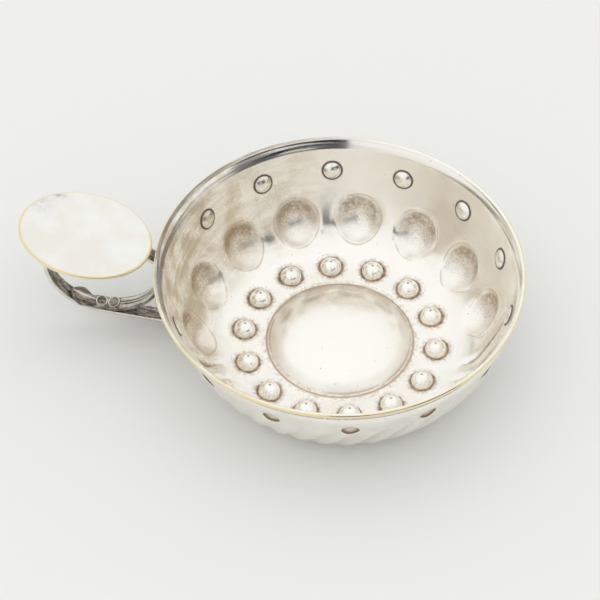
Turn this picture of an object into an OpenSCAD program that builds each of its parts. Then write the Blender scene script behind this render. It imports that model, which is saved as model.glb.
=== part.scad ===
// Tastevin: a shallow wine taster's cup with a ring handle and an oval thumb plate.
// The cup rests on z = 0 with its axis on Z, and the handle points along -X. Millimetres.

/* [Bowl] */
// Outside diameter of the lip
rim_d = 85; // [78:0.5:96]
// Height of the rim above the table
bowl_h = 26.3; // [24:0.1:32]
// Diameter of the flat floor, measured to where its corner starts to rise
floor_d = 53; // [50:0.2:56]
// Thickness of the sheet
sheet_t = 0.8; // [0.6:0.05:1]
// Outside radius of the corner between the floor and the wall
corner_r = 5; // [3:0.1:7]
// Radius of the wall's outward bulge
wall_r = 50; // [46:1:90]
// Height of the flared lip
lip_h = 2.2; // [1.5:0.1:3]
// How far the lip stands out from the wall below it
lip_flare = 1.2; // [1:0.1:2.4]
// Radius of the rounded edge that runs along the lip
edge_r = 0.55; // [0.52:0.01:0.8]

/* [Dome] */
// Diameter of the dome's foot on the floor
dome_d = 34.6; // [28:0.2:38]
// Height of the dome above the floor
dome_h = 4.4; // [2.5:0.1:6]

/* [Beads] */
// Number of beads in the ring on the floor. The pearls keep its step and leave out the handle's place.
bead_n = 14; // [12:1:14]
// Diameter of the circle that the beads sit on
bead_ring_d = 45.8; // [44:0.2:47]
// Diameter of one bead at its foot
bead_d = 5.3; // [4:0.1:5.6]
// Height of one bead
bead_h = 2.6; // [1.6:0.1:2.7]

/* [Pearls] */
// Distance from the lip's foot down to the pearl row
pearl_drop = 5.5; // [3.6:0.1:6.2]
// Turn of the pearl row, away from the handle
pearl_turn = -2.5; // [-4:0.5:4]
// Diameter of one pearl at its foot
pearl_d = 4.8; // [3.4:0.1:5]
// Height of one pearl
pearl_h = 1.25; // [1:0.05:1.6]

/* [Cupules] */
// Number of cupules, which sit between the pearls
cupule_n = 8; // [5:1:9]
// Height of the cupules' centres above the table
cupule_z = 7.4; // [7:0.1:9]
// Diameter of one cupule
cupule_d = 11.8; // [9:0.1:12.4]
// Depth of one cupule
cupule_h = 2.5; // [1.5:0.1:3]

/* [Flutes] */
// Number of flutes on the half without cupules
flute_n = 17; // [9:1:19]
// Height of the flutes' middles above the table
flute_z = 9.2; // [8.6:0.1:10]
// Length of one flute
flute_l = 18.4; // [12:0.2:19]
// Width of one flute at its middle
flute_w = 2.7; // [2:0.1:3]
// Depth of one flute at its middle
flute_h = 0.9; // [0.6:0.05:1]
// Lean of the flutes away from upright
flute_lean = 22; // [0:1:30]

/* [Handle] */
// Inside diameter of the finger ring
ring_d = 27.2; // [25:0.1:28]
// Distance from the lip's edge to the ring's centre
ring_reach = 12.8; // [12.4:0.1:16]
// Distance from the rim down to the ring's centre
ring_drop = 7.5; // [6.5:0.1:8]
// Height of the ring's flat top above the rim, over the ring's centre
flat_rise = 1.3; // [0.8:0.1:2]
// Width of the strap
strap_w = 3.8; // [3:0.1:5]
// Thickness of the strap
strap_t = 1; // [0.8:0.05:1.4]
// Distance from the lip's foot down to the strap's upper end
arm_drop = 1.9; // [1.5:0.1:2.3]
// Slope of the strap's upper end, down towards the bowl
arm_slope = 34; // [30:1:40]
// Height of the strap's lower end above the top of the bowl's corner
tail_rise = 0.45; // [0.3:0.05:1]

/* [Scroll leaf] */
// Thickness of the inner strip
leaf_t = 0.8; // [0.7:0.05:1.2]
// Width of the leaf at the inner strip's end
leaf_w = 5; // [4.4:0.1:6]
// Angle round the ring, from straight out, at which the leaf ends
leaf_end = 314; // [300:1:330]
// Number of bosses behind the leaf
boss_n = 2; // [1:1:3]
// Diameter of the bosses behind the leaf
boss_d = 2.2; // [1.6:0.1:2.8]
// Angle round the ring between the bosses
boss_step = 12; // [10:1:14]

/* [Thumb plate] */
// Length of the oval, along the handle
plate_l = 31.2; // [26:0.2:36]
// Width of the oval
plate_w = 25.8; // [20:0.2:30]
// Thickness of the plate
plate_t = 1.2; // [0.8:0.05:1.6]
// Slope of the plate, outer end up
plate_tilt = 10; // [0:1:16]
// Distance from over the ring's centre out to the middle of the plate
plate_shift = 4.4; // [3:0.1:6]

/* [Solder] */
// Thickness of a solder seam
seam_t = 0.2; // [0.1:0.05:0.3]
// How far the solder runs out beyond the strap's edges
seam_run = 0.5; // [0.3:0.05:0.8]
// Length of the seam under the thumb plate
plate_seam_l = 12; // [8:0.2:14]

/* [Hidden] */
$fn = 96;
small_fn = 40;
arc_fn = 180;
long_arc_fn = 360;
half_turn = 180;
full_turn = 360;
plated = "silver";
solder = "darkgray";

function unit(v) = v / norm(v);
function polar(r, a) = r * [cos(a), sin(a)];
function degrees(turn) = turn * half_turn / PI;

// Bowl section, in [radius, height]: the wall is an arc that passes the lip's foot and runs
// into the corner arc, and a skin at depth o below the outside is made of the same arcs.
lip_foot = [rim_d / 2 - lip_flare, bowl_h - lip_h];
edge_c = [rim_d / 2 - edge_r, bowl_h - edge_r];
corner_c = [floor_d / 2, corner_r];
chord = norm(lip_foot - corner_c);
along = unit(lip_foot - corner_c);
run = ((wall_r - corner_r) ^ 2 - wall_r ^ 2 + chord ^ 2) / (2 * chord);
rise = sqrt((wall_r - corner_r) ^ 2 - run ^ 2);
wall_c = corner_c + run * along + rise * [-along.y, along.x];
corner_dir = corner_c - wall_c;
corner_turn = atan2(corner_dir.y, corner_dir.x);
straight_down = -90;
corner_ease = 1.01;
lip_dir = unit(edge_c - (lip_foot - [sheet_t / 2, 0]));
lip_out = [lip_dir.y, -lip_dir.x];
lip_lap = 1;
overrun = 4;
bowl_top = bowl_h + overrun;

function wall_angle(z, o) = asin((z - wall_c.y) / (wall_r - o));
function wall_point(z, o) = wall_c + polar(wall_r - o, wall_angle(z, o));
function cap_radius(d, h) = (d ^ 2 / 4 + h ^ 2) / (2 * h);

// Ornament: spheres and ring segments set on the inner skin.
pearl_z = lip_foot.y - pearl_drop;
handle_side = half_turn;
pitch = full_turn / bead_n;
bead_r = cap_radius(bead_d, bead_h);
pearl_r = cap_radius(pearl_d, pearl_h);
cupule_r = cap_radius(cupule_d, cupule_h);
dome_r = cap_radius(dome_d, dome_h);
flute_r = cap_radius(flute_w, flute_h);
flute_span = full_turn - cupule_n * pitch;
flute_pitch = flute_span / flute_n;
flute_bend = cos(flute_lean) ^ 2 / wall_r + sin(flute_lean) ^ 2 / wall_point(flute_z, sheet_t).x;
flute_arc = 1 / (flute_bend + 8 * flute_h / flute_l ^ 2);
flute_over = 1.15;
flute_half = flute_over * degrees(flute_l / 2 / flute_arc);

// Handle section, in [distance out from the bowl's axis, height].
arm_z = lip_foot.y - arm_drop;
ring_z = bowl_h - ring_drop;
ring_c = [rim_d / 2 + ring_reach, ring_z];
ring_ri = ring_d / 2;
ring_ro = ring_ri + strap_t;
ring_rm = ring_ri + strap_t / 2;
strap_ease = 0.995;
ease_turn = acos(strap_ease);
arm_end = wall_point(arm_z, -seam_t);
arm_up = [-sin(arm_slope), cos(arm_slope)];
arm_top = arm_end + strap_t / 2 * arm_up;
tail_z = corner_c.y + corner_r * sin(corner_turn) + tail_rise;
tail_end = wall_point(tail_z, -seam_t);
tail_reach = tail_end - ring_c;
tail_turn = full_turn + atan2(tail_reach.y, tail_reach.x) + acos(ring_rm / norm(tail_reach));
tail_l = sqrt(norm(tail_reach) ^ 2 - ring_rm ^ 2);
leaf_ro = ring_ri - seam_t;
leaf_ri = leaf_ro - leaf_t;
leaf_start = 120;
tip_angle = leaf_end - asin(leaf_w / 2 / leaf_ro);
leaf_room = 40;
plate_up = [-sin(plate_tilt), cos(plate_tilt)];
plate_out = [cos(plate_tilt), sin(plate_tilt)];
flat_top = [ring_c.x, bowl_h + flat_rise];
plate_seat = flat_top + seam_t * plate_up;
plate_c = plate_seat + plate_t / 2 * plate_up + plate_shift * plate_out;

// Wedge beyond the corner arc, cut from the section where the floor would meet the wall.
module corner_cut(o) {
    far = 3 * corner_r;
    mid = (straight_down + corner_turn) / 2;
    translate(corner_c) difference() {
        polygon([[0, 0], polar(far, straight_down), polar(far, mid), polar(far, corner_turn)]);
        circle(r = corner_r * corner_ease - o);
    }
}

// Region inside the skin that lies at depth o below the bowl's outside.
module skin_section(o, top) {
    edge = edge_c + (sheet_t / 2 - o) * lip_out;
    foot = wall_point(lip_foot.y, o) - lip_lap * lip_dir;
    difference() {
        intersection() {
            translate(wall_c) circle(r = wall_r - o, $fn = long_arc_fn);
            translate([0, o]) square([rim_d, lip_foot.y + lip_lap / 2 - o]);
        }
        corner_cut(o);
    }
    polygon([[0, foot.y], foot, edge, [edge.x, top], [0, top]]);
}

module skin(o, top) {
    rotate_extrude() skin_section(o, top);
}

// Places a child, whose +X points outward, on the inner skin at height z and depth h.
module on_wall(z, h) {
    p = wall_point(z, sheet_t) + polar(h, wall_angle(z, sheet_t));
    translate([p.x, 0, p.y]) rotate([0, -wall_angle(z, sheet_t), 0]) children();
}

module round_turn(n, step, first) {
    for (i = [0 : n - 1]) rotate([0, 0, first + i * step]) children();
}

module beads(r) {
    round_turn(bead_n, pitch, handle_side)
        translate([bead_ring_d / 2, 0, sheet_t + bead_h - bead_r]) sphere(r = r, $fn = small_fn);
}

module pearls(r) {
    round_turn(bead_n - 1, pitch, handle_side + pitch + pearl_turn)
        on_wall(pearl_z, pearl_r - pearl_h) sphere(r = r, $fn = small_fn);
}

module cupules(r) {
    round_turn(cupule_n, pitch, handle_side - (cupule_n - 1.5) * pitch)
        on_wall(cupule_z, cupule_h - cupule_r) sphere(r = r, $fn = small_fn);
}

module flutes(r) {
    round_turn(flute_n, flute_pitch, handle_side + pitch + flute_pitch / 2)
        on_wall(flute_z, flute_h - flute_r - flute_arc)
            rotate([90 - flute_lean, 0, 0]) rotate([0, 0, -flute_half])
                rotate_extrude(angle = 2 * flute_half)
                    translate([flute_arc, 0]) circle(r = r, $fn = small_fn);
}

// Solid that fills the dome up to its skin at depth o below the dome's upper side.
module dome(o) {
    intersection() {
        translate([0, 0, sheet_t + dome_h - dome_r]) sphere(r = dome_r - o, $fn = arc_fn);
        translate([0, 0, -overrun]) cylinder(d = dome_d + overrun, h = dome_h + sheet_t + 2 * overrun);
    }
}

module bowl_outside() {
    difference() {
        union() {
            skin(0, edge_c.y);
            cupules(cupule_r + sheet_t);
            flutes(flute_r + sheet_t);
        }
        dome(sheet_t);
        beads(bead_r - sheet_t);
        pearls(pearl_r - sheet_t);
    }
}

module bowl_inside() {
    difference() {
        union() {
            skin(sheet_t, bowl_top);
            cupules(cupule_r);
            flutes(flute_r);
        }
        dome(0);
        beads(bead_r);
        pearls(pearl_r);
    }
}

module lip_edge() {
    rotate_extrude() translate(edge_c) circle(r = edge_r, $fn = small_fn);
}

module bowl() {
    color(plated) union() {
        difference() {
            bowl_outside();
            bowl_inside();
        }
        lip_edge();
    }
}

// Stands a handle section up in the handle's plane and gives it a width.
module strip(w) {
    rotate([90, 0, half_turn]) linear_extrude(w, center = true) children();
}

// Sector of a ring, from angle a to angle b.
module ring_sector(ri, ro, a, b) {
    steps = 8;
    far = 2 * ro;
    difference() {
        circle(r = ro, $fn = arc_fn);
        circle(r = ri, $fn = arc_fn);
        polygon([[0, 0], for (i = [0 : steps]) polar(far, b + (a + full_turn - b) * i / steps)]);
    }
}

// Everything above a line that passes p and rises outward at angle a.
module above(p, a) {
    translate(p) rotate(a) translate([-rim_d, 0]) square([2 * rim_d, rim_d]);
}

// What lies above the strap's arm, at depth o below its upper side.
module above_arm(o) {
    above(arm_top - o * arm_up, arm_slope);
}

// Space of width w inside the strap's line at depth o below its outside: the ring, cut flat under the
// plate, and what lies between the arm and the tail, which leaves the ring at a slight angle.
module strap_space(w, o) {
    r = ring_ro - o;
    tail_foot = ring_c + polar(strap_ease * r, tail_turn);
    tail_far = tail_foot + (tail_l + overrun + 2 * o) * polar(1, tail_turn - 90);
    difference() {
        union() {
            strip(w) translate(ring_c) circle(r = r, $fn = arc_fn);
            strip(w) polygon([ring_c, tail_foot, tail_far, [tail_far.x, bowl_top], [ring_c.x, bowl_top]]);
        }
        strip(2 * w) above(flat_top - o * plate_up, plate_tilt);
        strip(2 * w) above_arm(o);
    }
}

module ring_strap() {
    color(plated) difference() {
        strap_space(strap_w, 0);
        strap_space(2 * strap_w, strap_t);
        skin(-seam_t, bowl_top);
        cupules(cupule_r + sheet_t + seam_t);
    }
}

// Turns a child's +Z to point out from the ring's centre, at angle a round the ring.
module from_ring_centre(a) {
    translate([-ring_c.x, 0, ring_c.y]) rotate([0, a - 90, 0]) children();
}

module leaf_bosses() {
    leaf_back = tip_angle - degrees(leaf_w / 2 / leaf_ro);
    for (i = [1 : boss_n])
        from_ring_centre(leaf_back - i * boss_step)
            translate([0, 0, leaf_ri + leaf_t / 2]) sphere(d = boss_d, $fn = small_fn);
}

module scroll_leaf() {
    color(plated) union() {
        strip(strap_w) difference() {
            translate(ring_c) ring_sector(leaf_ri, leaf_ro, leaf_start, tip_angle);
            above_arm(strap_t + seam_t);
        }
        intersection() {
            strip(leaf_w) translate(ring_c)
                ring_sector(leaf_ri, leaf_ro, tip_angle - leaf_room, tip_angle + leaf_room);
            from_ring_centre(tip_angle) cylinder(d = leaf_w, h = ring_ro);
        }
        difference() {
            leaf_bosses();
            strip(2 * strap_w) translate(ring_c) ring_sector(leaf_ro, ring_ro, half_turn, full_turn);
        }
    }
}

module thumb_plate() {
    color(plated)
        translate([-plate_c.x, 0, plate_c.y]) rotate([0, plate_tilt, 0])
            linear_extrude(plate_t, center = true) scale([plate_l / plate_w, 1]) circle(d = plate_w);
}

// Solder between the bowl and a strap's end, as thick as the seam.
module wall_seam(p) {
    difference() {
        intersection() {
            difference() {
                skin(-seam_t, bowl_top);
                skin(0, bowl_top);
            }
            translate([-p.x, 0, p.y])
                cube([2 * overrun, strap_w + 2 * seam_run, strap_t + 2 * seam_run], center = true);
        }
        cupules(cupule_r + sheet_t);
    }
}

module rim_solder() {
    color(solder) wall_seam(arm_end);
}

module tail_solder() {
    color(solder) wall_seam(tail_end);
}

module plate_solder() {
    color(solder) strip(strap_w + 2 * seam_run) translate(flat_top) rotate(plate_tilt)
        translate([-plate_seam_l / 2, 0]) square([plate_seam_l, seam_t]);
}

// What lies below the seam between the arm and the scroll.
module below_arm_seam() {
    foot = arm_top - (strap_t + seam_t) * arm_up;
    translate(foot) rotate(arm_slope) translate([-rim_d, -rim_d]) square([2 * rim_d, rim_d]);
}

module leaf_solder() {
    color(solder) strip(strap_w) {
        difference() {
            translate(ring_c) ring_sector(leaf_ri, leaf_ro, leaf_start, half_turn);
            above_arm(strap_t);
            below_arm_seam();
        }
        translate(ring_c) ring_sector(leaf_ro, ring_ri, tail_turn + ease_turn, tip_angle);
    }
}

bowl();
ring_strap();
scroll_leaf();
thumb_plate();
rim_solder();
tail_solder();
plate_solder();
leaf_solder();
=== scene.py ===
"""Looks of a tastevin: a shallow silver-plated cup with a ring handle and an oval thumb plate.

The cup is raised from a flat disc, as a silversmith raises it: each skin of the sheet is laid out
flat, its ornament is marked on it by distance, and then it is rolled up along the cup's section.
"""

from __future__ import annotations

import logging
import math
from dataclasses import dataclass, field
from enum import Enum

import bmesh
import bpy
import numpy as np
from mathutils import Matrix, Vector

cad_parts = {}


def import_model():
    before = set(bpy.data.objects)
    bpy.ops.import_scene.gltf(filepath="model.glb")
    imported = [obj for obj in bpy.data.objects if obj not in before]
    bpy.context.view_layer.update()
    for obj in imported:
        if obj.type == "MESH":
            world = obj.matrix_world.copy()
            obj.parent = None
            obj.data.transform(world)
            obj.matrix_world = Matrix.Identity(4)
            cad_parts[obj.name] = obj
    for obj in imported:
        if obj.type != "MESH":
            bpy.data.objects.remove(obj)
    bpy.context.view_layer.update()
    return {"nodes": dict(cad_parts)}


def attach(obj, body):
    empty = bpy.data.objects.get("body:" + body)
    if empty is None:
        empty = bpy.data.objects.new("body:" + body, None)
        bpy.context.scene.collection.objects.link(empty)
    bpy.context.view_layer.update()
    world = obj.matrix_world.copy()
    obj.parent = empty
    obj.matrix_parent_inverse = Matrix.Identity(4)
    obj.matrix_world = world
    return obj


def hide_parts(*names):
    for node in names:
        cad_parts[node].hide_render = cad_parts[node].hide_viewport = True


log = logging.getLogger("tastevin")
MM = 0.001
BODY = "root"
# Points closer than this become one.
WELD = 0.002 * MM
# How many points stand for a curve, and for the lip's short bow.
CURVE_POINTS = 200
LIP_POINTS = 40
# A swelling whose foot has a larger radius is a cupule.
BROAD_FOOT = 4 * MM
# A mark's value on the mesh where no ornament of its kind is near.
NOT_NEAR = 9.0
# Keeps a distance that is divided by from being 0.
TINY = 1e-9
Colour = tuple[float, float, float, float]


class Skin(Enum):
    """The two sides of the cup's sheet, with the sign of a bead there: proud inside, sunk outside."""

    INSIDE = 1
    OUTSIDE = -1


class Mark(Enum):
    """The kinds of ornament, each by the name of the number that the mesh carries for it."""

    BEAD = "bead"
    PEARL = "pearl"
    DISH = "dish"
    DIMPLE = "dimple"
    GROOVE = "groove"


class Slot(Enum):
    """The record's material slots for the pieces that are modelled here."""

    BOWL = "bowl_plate"
    STRAP = "strap_plate"
    THUMB = "thumb_plate_plate"


class Value:
    """A shader socket whose arithmetic adds Math nodes."""

    def __init__(self, graph: "Graph", socket: bpy.types.NodeSocket) -> None:
        """Keeps the socket and the graph that its sums are added to."""
        self.graph = graph
        self.socket = socket

    def math(self, operation: str, *values: "Value | float") -> "Value":
        """Adds one Math node.

        Args:
            operation: the Math node's operation.
            values: what goes into its sockets, in order.

        Returns:
            The node's result.
        """
        sockets = dict(enumerate(values))
        return self.graph.node("ShaderNodeMath", {"operation": operation}, sockets)

    def __add__(self, other: "Value | float") -> "Value":
        """Returns self + other."""
        return self.math("ADD", self, other)

    __radd__ = __add__

    def __sub__(self, other: "Value | float") -> "Value":
        """Returns self - other."""
        return self.math("SUBTRACT", self, other)

    def __rsub__(self, other: float) -> "Value":
        """Returns other - self."""
        return self.math("SUBTRACT", other, self)

    def __mul__(self, other: "Value | float") -> "Value":
        """Returns self * other."""
        return self.math("MULTIPLY", self, other)

    __rmul__ = __mul__

    def __abs__(self) -> "Value":
        """Returns the value without its sign."""
        return self.math("ABSOLUTE", self)

    def most(self, other: "Value | float") -> "Value":
        """Returns the larger of two values."""
        return self.math("MAXIMUM", self, other)

    def least(self, other: "Value | float") -> "Value":
        """Returns the smaller of two values."""
        return self.math("MINIMUM", self, other)

    def step(self, start: "Value | float", end: "Value | float") -> "Value":
        """Rises smoothly from 0 to 1.

        Args:
            start: the value that gives 0.
            end: the value that gives 1.

        Returns:
            The risen value, held between 0 and 1.
        """
        settings = {"interpolation_type": "SMOOTHSTEP"}
        sockets = {"Value": self, "From Min": start, "From Max": end}
        return self.graph.node("ShaderNodeMapRange", settings, sockets)


class Graph:
    """A material's node tree, written as expressions."""

    def __init__(self, name: str) -> None:
        """Makes an empty material of that name."""
        self.material = bpy.data.materials.new(name)
        self.material.use_nodes = True
        self.tree = self.material.node_tree
        self.tree.nodes.clear()

    def node(self, kind: str, settings: dict | None = None, sockets: dict | None = None,
             output: int | str | None = 0) -> Value | None:
        """Adds one node.

        Args:
            kind: the node's type.
            settings: its properties, set before its sockets. "stops" sets a ramp's stops.
            sockets: constants or links, by socket name or number.
            output: the output to hand back, or None for a node that has none.

        Returns:
            That output.
        """
        made = self.tree.nodes.new(kind)
        for key, setting in (settings or {}).items():
            if key == "stops":
                self.set_stops(made.color_ramp, setting)
            else:
                setattr(made, key, setting)
        for key, value in (sockets or {}).items():
            if isinstance(value, Value):
                self.tree.links.new(value.socket, made.inputs[key])
            else:
                made.inputs[key].default_value = value
        return None if output is None else Value(self, made.outputs[output])

    @staticmethod
    def set_stops(ramp: bpy.types.ColorRamp, stops: list[tuple]) -> None:
        """Gives a colour ramp its stops, each a place and a colour."""
        while len(ramp.elements) > 1:
            ramp.elements.remove(ramp.elements[-1])
        for i, (place, colour) in enumerate(stops):
            element = ramp.elements[0] if i == 0 else ramp.elements.new(place)
            element.position = place
            element.color = colour

    def place(self, scale: tuple[float, float, float] = (1, 1, 1)) -> Value:
        """Object coordinates in millimetres, stretched by a scale."""
        coordinates = self.node("ShaderNodeTexCoord", output="Object")
        stretch = tuple(s / MM for s in scale)
        return self.node("ShaderNodeVectorMath", {"operation": "MULTIPLY"}, {0: coordinates, 1: stretch})

    def noise(self, at: Value, scale: float, detail: float = 3, roughness: float = 0.55,
              distortion: float = 0) -> Value:
        """Soft noise about 0.5.

        Args:
            at: coordinates in millimetres.
            scale: blotches per millimetre.
            detail: octaves.
            roughness: how strong the finer octaves are.
            distortion: how far the noise swirls.

        Returns:
            The noise value.
        """
        sockets = {"Vector": at, "Scale": scale, "Detail": detail, "Roughness": roughness,
                   "Distortion": distortion}
        return self.node("ShaderNodeTexNoise", None, sockets, "Fac")

    def cells(self, at: Value, scale: float) -> Value:
        """Distance to the nearest of a scatter of points, in cells."""
        return self.node("ShaderNodeTexVoronoi", None, {"Vector": at, "Scale": scale}, "Distance")

    def attribute(self, name: str) -> Value:
        """A number that the mesh carries at its points."""
        return self.node("ShaderNodeAttribute", {"attribute_name": name}, None, "Fac")

    def mix(self, factor: Value | float, first: Value | tuple, second: Value | tuple) -> Value:
        """Mixes two colours, from first at 0 to second at 1."""
        sockets = {0: factor, 6: first, 7: second}
        return self.node("ShaderNodeMix", {"data_type": "RGBA"}, sockets, 2)

    def bump(self, height: Value, distance: float, strength: float) -> Value:
        """A normal from a height map whose full range is a distance in metres."""
        sockets = {"Height": height, "Distance": distance, "Strength": strength}
        return self.node("ShaderNodeBump", None, sockets)

    def finish(self, **sockets: "Value | float | tuple") -> bpy.types.Material:
        """Ends the tree in one Principled shader.

        Args:
            sockets: the shader's sockets, with underscores for spaces.

        Returns:
            The finished material.
        """
        named = {key.replace("_", " "): value for key, value in sockets.items()}
        shader = self.node("ShaderNodeBsdfPrincipled", None, named)
        self.node("ShaderNodeOutputMaterial", None, {"Surface": shader}, None)
        return self.material


@dataclass(frozen=True)
class SilverPlate:
    """Polished silver plate with brown tarnish in its creases, worn to brass on its edge, with a warm tint
    and painted shade on its walls, floor and dome, and painted shade in its cupules.
    """

    bright: Colour = (0.995, 0.98, 0.93, 1)
    # warm: colour of a tint that is partly tarnish and partly painted shade on the walls, floor and dome
    warm: Colour = (0.72, 0.635, 0.505, 1)
    brown: Colour = (0.42, 0.27, 0.15, 1)
    umber: Colour = (0.10, 0.06, 0.035, 1)
    brass: Colour = (0.91, 0.79, 0.48, 1)
    polish: float = 0.22
    lip_polish: float = 0.1

    def material(self) -> bpy.types.Material:
        """Builds the bowl's material, which reads the numbers that the bowl's mesh carries.

        Returns:
            The material.
        """
        g = Graph("bowl_silver_plate")
        here = g.place()
        cloudy = g.noise(here, scale=0.16, detail=4)
        soft = g.noise(here, scale=0.9, detail=2, roughness=0.5)
        ragged = g.noise(here, scale=1.1, detail=4, roughness=0.65)
        fine = g.noise(here, scale=3.2, detail=3, roughness=0.6)
        streaks = g.noise(g.place((0.22, 0.22, 1.5)), scale=0.55, detail=4, roughness=0.6, distortion=0.4)
        turned = g.noise(g.place((0.05, 0.05, 1.5)), scale=0.9, detail=3, roughness=0.6, distortion=0.2)
        film_and_shade, dirt = self.stains(g, cloudy, soft, ragged, fine)
        pits = (1 - g.cells(here, 0.55).step(0.05, 0.13)) * ragged.step(0.5, 0.6)
        dirt = dirt.most(pits * 0.5).most(g.attribute("smoke") * turned.step(0.4, 0.58) * 0.7)
        patches = 0.3 * streaks.step(0.36, 0.64) + 0.2 * turned.step(0.4, 0.62)
        # Warm tint, partly tarnish and partly painted shade; where it is strongest it also adds brown film
        warm_tint_and_shade = g.attribute("warm_tint_and_shade") * (0.14 + patches + 0.6 * cloudy.step(0.42, 0.62))
        film_and_shade = film_and_shade.most(warm_tint_and_shade.step(0.6, 1.4) * 0.3)
        edge = g.attribute("edge")
        worn = (1 - edge.step(0.12 + 0.34 * ragged, 0.34 + 0.4 * ragged)) * cloudy.step(0.1, 0.4)
        colour = g.mix(warm_tint_and_shade, self.bright, self.warm)
        colour = g.mix(film_and_shade, colour, self.brown)
        colour = g.mix(dirt, colour, self.umber)
        colour = g.mix(worn * 0.9, colour, self.brass)
        rough = self.lip_polish + (self.polish - self.lip_polish) * edge.step(2.5, 5)
        foot = g.attribute("foot")
        slope = foot.step(-4.5, -2.5) * (1 - foot.step(-0.1, 0.1))
        dished = 1 - g.attribute(Mark.DISH.value).step(0.8, 1.0)
        rough = rough + 0.1 * warm_tint_and_shade + 0.2 * film_and_shade.most(dirt) + 0.06 * (streaks - 0.5)
        rough = rough + 0.14 * slope + 0.06 * dished
        relief = 0.5 * fine + 0.5 * streaks - 0.9 * pits - 0.5 * dirt
        return g.finish(
            Base_Color=colour,
            Metallic=1 - 0.5 * film_and_shade.most(dirt),
            Roughness=rough,
            Normal=g.bump(relief, distance=0.04 * MM, strength=0.14),
        )

    @staticmethod
    def stains(g: Graph, cloudy: Value, soft: Value, ragged: Value, fine: Value) -> tuple[Value, Value]:
        """Brown film and dark dirt, where the ornament keeps polish from reaching, and painted shade on
        the upper side of each cupule.

        Args:
            g: the graph.
            cloudy: broad noise.
            soft: smooth noise of about a millimetre.
            ragged: rough noise of about a millimetre.
            fine: noise finer than that.

        Returns:
            How strong the film with its painted shade is, and how strong the dirt is.
        """
        bead, pearl, dish, dimple, groove = (g.attribute(mark.value) for mark in Mark)
        dish_up = g.attribute("dish_up")
        foot = g.attribute("foot")
        off_bead = bead.step(-0.3, 0.05)
        ring = (1 - bead.step(0.15, 0.35 + 1.1 * soft)) * off_bead
        halo = (1 - bead.step(0.4, 1.8)) * ragged.step(0.42, 0.58) * off_bead
        grit = (1 - bead.step(0.9, 2.2)) * fine.step(0.6, 0.68) * off_bead
        line = (1 - pearl.step(0.0, 0.14 + 0.5 * soft)) * pearl.step(-0.5, -0.2)
        trough = 1 - groove.step(0.3, 0.85 + 1.25 * soft)
        first = 1 - abs(foot).step(0.05, 0.2 + 0.5 * soft)
        second = (1 - abs(foot + 0.9).step(0.05, 0.4)) * cloudy.step(0.38, 0.55)
        spread = (1 - abs(foot).step(0.3, 1.8)) * ragged.step(0.46, 0.62)
        # A brown crescent inside the upper rim of each cupule: partly stain, partly painted shade
        crescent_stain_and_shade = dish.step(0.05, 0.6) * (1 - dish.step(0.78, 1.02)) * dish_up.step(-0.45, 0.5)
        crescent_stain_and_shade = crescent_stain_and_shade * (0.35 + 0.65 * ragged.step(0.38, 0.56)) * cloudy.step(0.2, 0.48)
        freckles = (1 - dish.step(0.6, 0.98)) * fine.step(0.5, 0.62) * dish_up.step(-0.8, 0.1)
        outline = (1 - abs(dish - 1.03).step(0.01, 0.06)) * cloudy.step(0.4, 0.6)
        hollow = 1 - dimple.step(0.9, 1.05)
        apex = 1 - g.attribute("apex").step(0.12, 0.34)
        under_lip = (1 - g.attribute("lip").step(0.08, 0.35)) * ragged.step(0.3, 0.5)
        film_and_shade = (ring * 0.95).most(halo * 0.55).most(first * 0.75).most(second * 0.55).most(spread * 0.45)
        film_and_shade = film_and_shade.most(crescent_stain_and_shade * 0.7).most(freckles * 0.6).most(trough * 0.7)
        film_and_shade = film_and_shade.most(hollow * (0.4 + 0.45 * dimple.step(0.4, 0.85)))
        film_and_shade = film_and_shade.most(under_lip * 0.7).most(outline * 0.4)
        dirt = (ring * ragged.step(0.45, 0.62) * 0.75).most(grit * 0.7).most(line * 0.95).most(apex * 0.7)
        dirt = dirt.most(trough * ragged.step(0.36, 0.58) * 0.55)
        dirt = dirt.most(hollow * dimple.step(0.55, 0.95) * 0.8)
        dirt = dirt.most(crescent_stain_and_shade * fine.step(0.54, 0.66) * 0.6)
        return film_and_shade, dirt


@dataclass(frozen=True)
class ThumbSilver:
    """Smooth silver plate, finely scratched, worn to brass along the plate's edge, with a dark smudge and
    a broad painted shade near its outer end.
    """

    bright: Colour = (0.925, 0.925, 0.9, 1)
    warm: Colour = (0.88, 0.86, 0.8, 1)
    smudge_and_shade: Colour = (0.30, 0.33, 0.37, 1)
    brass: Colour = (0.88, 0.76, 0.45, 1)
    polish: float = 0.3

    def material(self) -> bpy.types.Material:
        """Builds the thumb plate's material.

        Returns:
            The material.
        """
        g = Graph("thumb_silver_plate")
        here = g.place()
        edge = g.attribute("edge")
        cloudy = g.noise(here, scale=0.12, detail=3)
        ragged = g.noise(here, scale=0.9, detail=4, roughness=0.65)
        scratches = g.noise(g.place((0.25, 2.4, 1)), scale=1.2, detail=3, roughness=0.7, distortion=0.3)
        worn = 1 - edge.step(0.12 + 0.3 * ragged, 0.3 + 0.35 * ragged)
        # A dark smudge, and painted shade over the plate's outer end
        smudge_and_shade_mask = g.attribute("smudge_and_shade") * ragged.step(0.3, 0.6)
        colour = g.mix(cloudy.step(0.35, 0.65), self.bright, self.warm)
        colour = g.mix(smudge_and_shade_mask, colour, self.smudge_and_shade)
        colour = g.mix(worn * 0.9, colour, self.brass)
        return g.finish(
            Base_Color=colour,
            Metallic=1.0,
            Roughness=self.polish + 0.12 * cloudy + 0.1 * (scratches - 0.5),
            Normal=g.bump(scratches, distance=0.03 * MM, strength=0.2),
        )


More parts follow.
